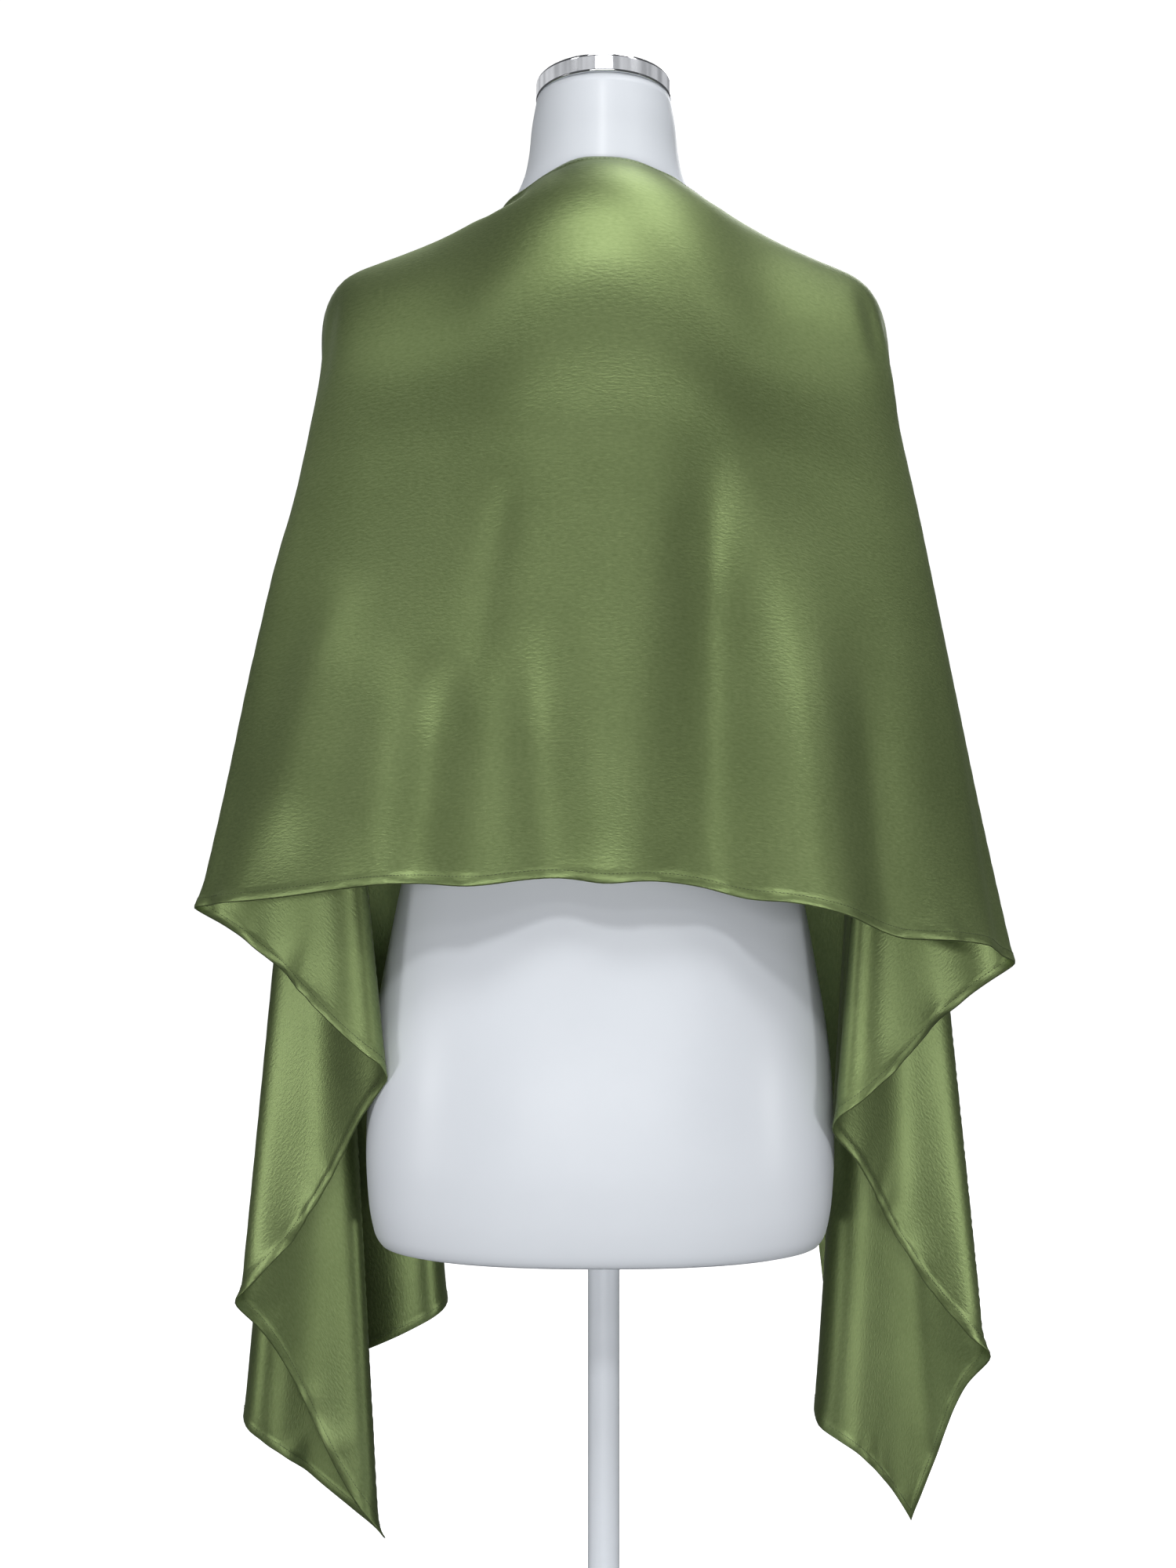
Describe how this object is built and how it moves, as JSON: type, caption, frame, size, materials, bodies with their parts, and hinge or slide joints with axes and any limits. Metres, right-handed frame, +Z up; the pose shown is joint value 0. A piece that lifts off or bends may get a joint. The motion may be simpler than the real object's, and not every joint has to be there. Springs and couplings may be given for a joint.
{
  "type": "satin shawl on dress form",
  "caption": "Green satin stole worn round the shoulders of a plain white limbless dress form on a short stand, with zigzag falls of folds at both sides",
  "frame": {"origin": "middle of the underside of the round base", "axes": "+Z up along the pole, -Y the way that the wearer's back faces, +X to the right in the picture"},
  "size_m": [0.566, 0.2949, 1.1267],
  "materials": {
    "white_enamel": "glossy white",
    "chrome": "polished",
    "green_satin": "soft satin sheen"
  },
  "bodies": {
    "root": {"form_torso": "white_enamel", "neck_cap": "chrome", "shawl_back": "green_satin", "shawl_left_fall": "green_satin", "shawl_right_fall": "green_satin", "stand_base": "white_enamel", "stand_pole": "white_enamel"}
  },
  "joints": []
}
